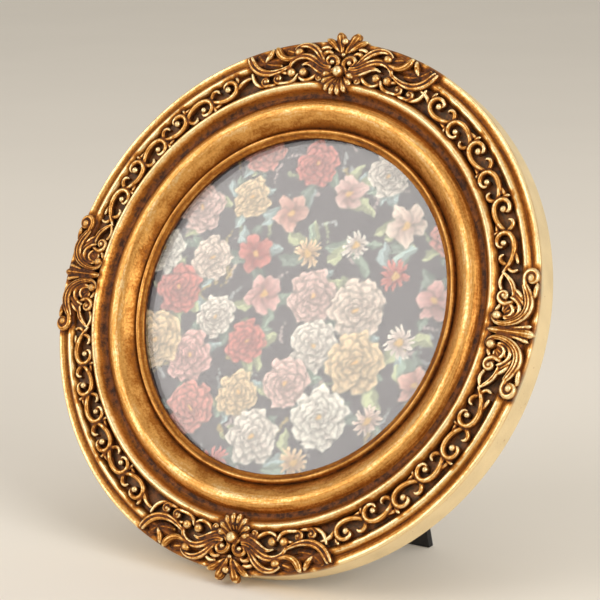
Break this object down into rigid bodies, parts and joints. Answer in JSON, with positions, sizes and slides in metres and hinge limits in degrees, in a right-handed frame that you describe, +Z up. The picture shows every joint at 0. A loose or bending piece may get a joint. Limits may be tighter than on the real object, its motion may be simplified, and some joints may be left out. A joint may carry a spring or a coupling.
{
  "type": "round easel photo frame",
  "caption": "Round gilt tabletop photo frame with scroll relief, glass, a velvet back held by turn buttons, a hinged easel leg and a hanging ring.",
  "frame": {"origin": "middle of the footprint at table level", "axes": "+Z up, +X to the viewer's right along the pin of the leg, -Y towards the viewer"},
  "size_m": [0.152, 0.072, 0.1437],
  "materials": {
    "antique_gilt": "cast resin, antique gold paint with dark brown patina in the hollows",
    "clear_glass": "clear float glass",
    "printed_paper": null,
    "grey_card": "uncoated grey card",
    "fibreboard": "hardboard, smooth",
    "black_velvet": "black flocked velvet",
    "brass": "brass-plated steel, satin"
  },
  "bodies": {
    "frame": {"moulding": "antique_gilt", "glass_pane": "clear_glass", "photo_print": "printed_paper", "filler_card": "grey_card", "backing_board": "fibreboard", "backing_velvet": "black_velvet", "turn_button_screws": "brass", "hinge_fixed_leaf": "brass", "hinge_pin": "brass", "hinge_board_rivets": "brass", "hanger_strap": "brass", "hanger_rivet": "brass"},
    "leg": {"easel_leg": "fibreboard", "leg_velvet": "black_velvet", "hinge_moving_leaf": "brass", "hinge_leg_rivets": "brass"},
    "hanger_ring": {"hanger_ring": "brass"},
    "turn_button_upper_right": {"turn_button_upper_right": "brass"},
    "turn_button_upper_left": {"turn_button_upper_left": "brass"},
    "turn_button_lower_left": {"turn_button_lower_left": "brass"},
    "turn_button_lower_right": {"turn_button_lower_right": "brass"}
  },
  "joints": [
    {"name": "leg_hinge", "type": "hinge", "parent": "frame", "child": "leg", "pos_m": [0, 0.0138, 0.0845], "axis": [1, 0, 0], "range_deg": [-30, 0]},
    {"name": "hanger_swing", "type": "hinge", "parent": "frame", "child": "hanger_ring", "pos_m": [0, 0.02437, 0.10826], "axis": [1, 0, 0], "range_deg": [-24, 155]},
    {"name": "turn_button_upper_right_pivot", "type": "hinge", "parent": "frame", "child": "turn_button_upper_right", "pos_m": [0.0452, 0.02052, 0.10333], "axis": [0, 0.91, -0.4147], "continuous": true},
    {"name": "turn_button_upper_left_pivot", "type": "hinge", "parent": "frame", "child": "turn_button_upper_left", "pos_m": [-0.0452, 0.02052, 0.10333], "axis": [0, 0.91, -0.4147], "continuous": true},
    {"name": "turn_button_lower_left_pivot", "type": "hinge", "parent": "frame", "child": "turn_button_lower_left", "pos_m": [-0.0452, -0.01094, 0.03432], "axis": [0, 0.91, -0.4147], "continuous": true},
    {"name": "turn_button_lower_right_pivot", "type": "hinge", "parent": "frame", "child": "turn_button_lower_right", "pos_m": [0.0452, -0.01094, 0.03432], "axis": [0, 0.91, -0.4147], "continuous": true}
  ]
}
